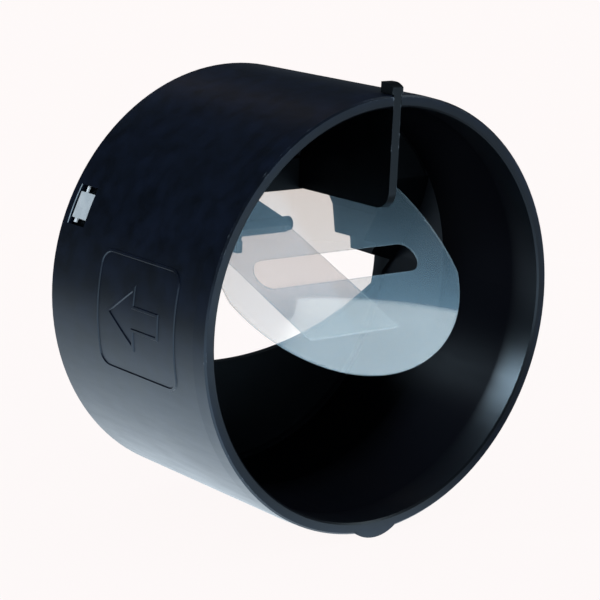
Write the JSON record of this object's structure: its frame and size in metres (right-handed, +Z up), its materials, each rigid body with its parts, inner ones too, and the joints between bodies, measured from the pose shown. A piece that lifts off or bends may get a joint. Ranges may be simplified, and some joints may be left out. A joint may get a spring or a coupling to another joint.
{
  "type": "extract air regulator",
  "caption": "Round black plastic duct insert with a translucent slotted flap that moving air swings back, a damping leaf behind it, a guide fin and side latches.",
  "frame": {"origin": "on the duct's axis, half way along the sleeve", "axes": "+Y along the duct from the room side to the back, +Z up to the fin, +X to the right seen from the room side"},
  "size_m": [0.124, 0.0776, 0.1286],
  "materials": {
    "black_plastic": "satin",
    "translucent_film": "satin",
    "natural_plastic": "satin",
    "screw_steel": "satin"
  },
  "bodies": {
    "housing": {"duct_sleeve": "black_plastic", "regulator_carrier": "black_plastic", "latch_left": "natural_plastic", "latch_right": "natural_plastic", "guide_fin": "black_plastic", "flap_clamp": "black_plastic", "leaf_bracket": "black_plastic", "flap_clamp_screw_1": "screw_steel", "flap_clamp_screw_2": "screw_steel", "flap_clamp_screw_3": "screw_steel", "flap_clamp_screw_4": "screw_steel", "leaf_bracket_screw_1": "screw_steel", "leaf_bracket_screw_2": "screw_steel"},
    "flap": {"flap": "translucent_film"},
    "leaf": {"damping_leaf": "translucent_film"}
  },
  "joints": [
    {"name": "flap_swing", "type": "hinge", "parent": "housing", "child": "flap", "pos_m": [0, 0.00475, 0.0309], "axis": [1, 0, 0], "range_deg": [0, 66], "stiffness_Nm_per_rad": 0.003, "springref_deg": -34.38},
    {"name": "leaf_swing", "type": "hinge", "parent": "housing", "child": "leaf", "pos_m": [0, 0.02965, 0.0135], "axis": [1, 0, 0], "range_deg": [0, 72.6]}
  ],
  "couplings": [
    {"joint": "leaf_swing", "follows": "flap_swing", "ratio": 1.1}
  ]
}
